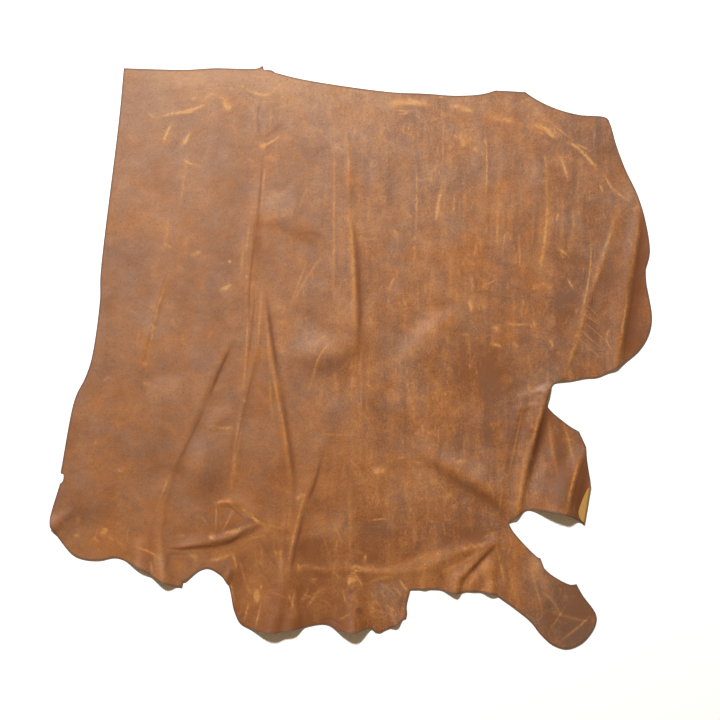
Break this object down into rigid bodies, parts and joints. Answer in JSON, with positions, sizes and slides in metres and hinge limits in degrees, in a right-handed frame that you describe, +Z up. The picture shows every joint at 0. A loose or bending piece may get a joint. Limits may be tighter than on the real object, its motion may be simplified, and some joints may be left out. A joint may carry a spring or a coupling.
{
  "type": "cowhide, half a side of waxed leather",
  "caption": "Half a side of brown waxed cow leather laid flat grain side up, with a square-cut neck corner, a turned hock flap, a long shank and soft folds.",
  "frame": {"origin": "on the surface that the hide lies on, below the centre of its box", "axes": "+X across the hide from the neck cut to the rump, +Y up to the back line, +Z up out of the grain side"},
  "size_m": [1.1605, 1.125, 0.0246],
  "materials": {
    "waxed_leather": "waxed pull-up grain, satin, mid brown with lighter orange scuffs and creases, ochre suede flesh side"
  },
  "bodies": {
    "root": {"hide": "waxed_leather"}
  },
  "joints": []
}
